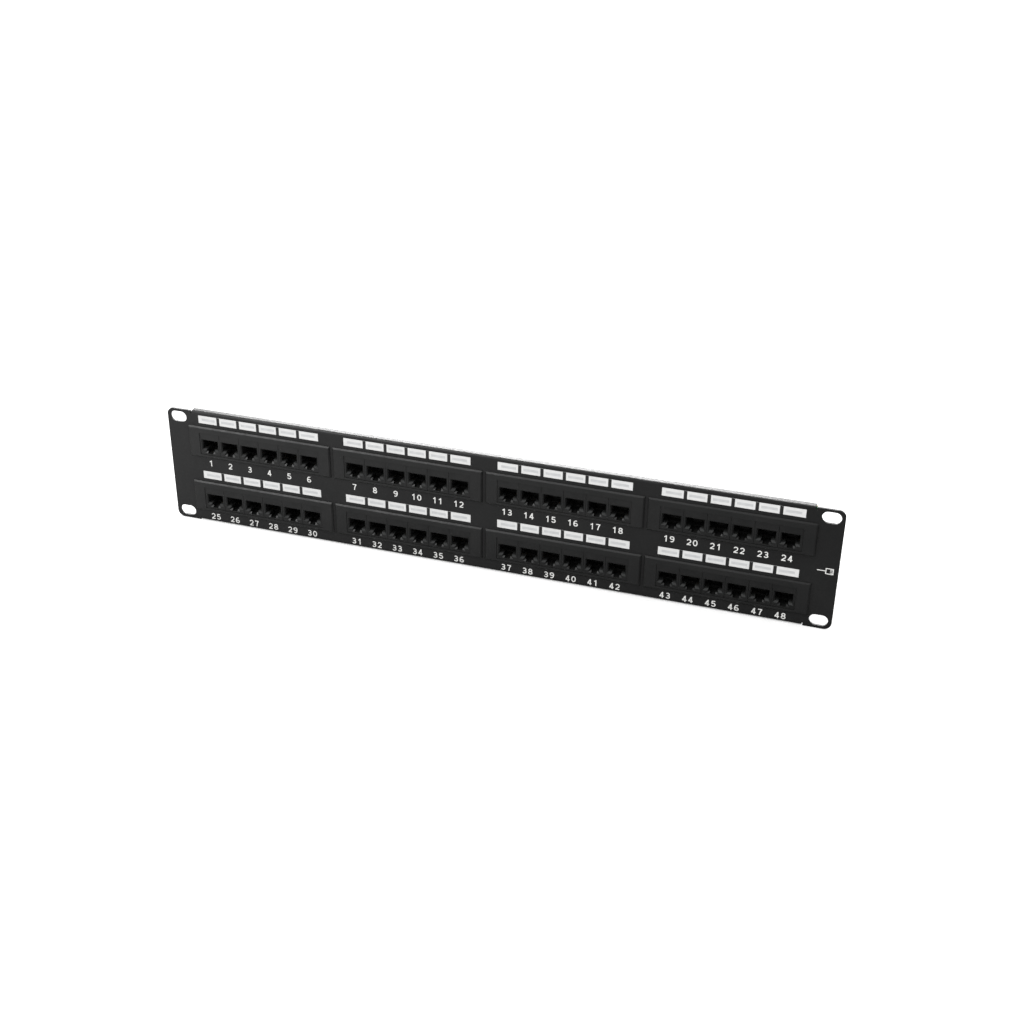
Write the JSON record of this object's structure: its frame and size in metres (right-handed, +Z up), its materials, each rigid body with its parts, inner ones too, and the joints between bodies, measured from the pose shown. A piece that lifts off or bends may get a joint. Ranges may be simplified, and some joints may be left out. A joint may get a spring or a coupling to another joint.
{
  "type": "patch panel",
  "caption": "Folded steel rack panel with two rows of snap-in modular jack units, write-on label strips and rear punch-down connectors.",
  "frame": {"origin": "centre of the four rack slots, on the rear face of the steel sheet that lies against the rack rails", "axes": "+X to the right seen from the front, +Y into the rack, +Z up; the jacks face -Y"},
  "size_m": [0.4826, 0.0284, 0.0882],
  "materials": {
    "powder_coated_steel": "satin black powder coat with a fine texture",
    "label_film": "white write-on film",
    "screw_steel": "zinc plated",
    "bezel_plastic": "black, fine moulded texture",
    "jack_plastic": "black, smooth moulded",
    "gold_plating": "gold plated spring strip",
    "solder_mask": "green solder mask over glass epoxy",
    "block_plastic": "off-white moulded polycarbonate",
    "tinned_metal": "tin plated bronze"
  },
  "bodies": {
    "panel_assembly": {"rack_panel": "powder_coated_steel", "label_strips": "label_film", "board_screws": "screw_steel", "module_1_bezel": "bezel_plastic", "module_1_jack_housings": "jack_plastic", "module_1_contact_legs": "gold_plating", "module_1_circuit_board": "solder_mask", "module_1_punchdown_blocks": "block_plastic", "module_1_punchdown_clips": "tinned_metal", "module_2_bezel": "bezel_plastic", "module_2_jack_housings": "jack_plastic", "module_2_contact_legs": "gold_plating", "module_2_circuit_board": "solder_mask", "module_2_punchdown_blocks": "block_plastic", "module_2_punchdown_clips": "tinned_metal", "module_3_bezel": "bezel_plastic", "module_3_jack_housings": "jack_plastic", "module_3_contact_legs": "gold_plating", "module_3_circuit_board": "solder_mask", "module_3_punchdown_blocks": "block_plastic", "module_3_punchdown_clips": "tinned_metal", "module_4_bezel": "bezel_plastic", "module_4_jack_housings": "jack_plastic", "module_4_contact_legs": "gold_plating", "module_4_circuit_board": "solder_mask", "module_4_punchdown_blocks": "block_plastic", "module_4_punchdown_clips": "tinned_metal", "module_5_bezel": "bezel_plastic", "module_5_jack_housings": "jack_plastic", "module_5_contact_legs": "gold_plating", "module_5_circuit_board": "solder_mask", "module_5_punchdown_blocks": "block_plastic", "module_5_punchdown_clips": "tinned_metal", "module_6_bezel": "bezel_plastic", "module_6_jack_housings": "jack_plastic", "module_6_contact_legs": "gold_plating", "module_6_circuit_board": "solder_mask", "module_6_punchdown_blocks": "block_plastic", "module_6_punchdown_clips": "tinned_metal", "module_7_bezel": "bezel_plastic", "module_7_jack_housings": "jack_plastic", "module_7_contact_legs": "gold_plating", "module_7_circuit_board": "solder_mask", "module_7_punchdown_blocks": "block_plastic", "module_7_punchdown_clips": "tinned_metal", "module_8_bezel": "bezel_plastic", "module_8_jack_housings": "jack_plastic", "module_8_contact_legs": "gold_plating", "module_8_circuit_board": "solder_mask", "module_8_punchdown_blocks": "block_plastic", "module_8_punchdown_clips": "tinned_metal"},
    "module_1_spring_arms": {"module_1_contact_springs": "gold_plating"},
    "module_2_spring_arms": {"module_2_contact_springs": "gold_plating"},
    "module_3_spring_arms": {"module_3_contact_springs": "gold_plating"},
    "module_4_spring_arms": {"module_4_contact_springs": "gold_plating"},
    "module_5_spring_arms": {"module_5_contact_springs": "gold_plating"},
    "module_6_spring_arms": {"module_6_contact_springs": "gold_plating"},
    "module_7_spring_arms": {"module_7_contact_springs": "gold_plating"},
    "module_8_spring_arms": {"module_8_contact_springs": "gold_plating"}
  },
  "joints": [
    {"name": "module_1_contact_flex", "type": "hinge", "parent": "panel_assembly", "child": "module_1_spring_arms", "pos_m": [-0.16962, 0.0005, 0.02305], "axis": [1, 0, 0], "range_deg": [0, 12]},
    {"name": "module_2_contact_flex", "type": "hinge", "parent": "panel_assembly", "child": "module_2_spring_arms", "pos_m": [-0.05654, 0.0005, 0.02305], "axis": [1, 0, 0], "range_deg": [0, 12]},
    {"name": "module_3_contact_flex", "type": "hinge", "parent": "panel_assembly", "child": "module_3_spring_arms", "pos_m": [0.05654, 0.0005, 0.02305], "axis": [1, 0, 0], "range_deg": [0, 12]},
    {"name": "module_4_contact_flex", "type": "hinge", "parent": "panel_assembly", "child": "module_4_spring_arms", "pos_m": [0.16962, 0.0005, 0.02305], "axis": [1, 0, 0], "range_deg": [0, 12]},
    {"name": "module_5_contact_flex", "type": "hinge", "parent": "panel_assembly", "child": "module_5_spring_arms", "pos_m": [-0.16962, 0.0005, -0.02105], "axis": [1, 0, 0], "range_deg": [0, 12]},
    {"name": "module_6_contact_flex", "type": "hinge", "parent": "panel_assembly", "child": "module_6_spring_arms", "pos_m": [-0.05654, 0.0005, -0.02105], "axis": [1, 0, 0], "range_deg": [0, 12]},
    {"name": "module_7_contact_flex", "type": "hinge", "parent": "panel_assembly", "child": "module_7_spring_arms", "pos_m": [0.05654, 0.0005, -0.02105], "axis": [1, 0, 0], "range_deg": [0, 12]},
    {"name": "module_8_contact_flex", "type": "hinge", "parent": "panel_assembly", "child": "module_8_spring_arms", "pos_m": [0.16962, 0.0005, -0.02105], "axis": [1, 0, 0], "range_deg": [0, 12]}
  ]
}
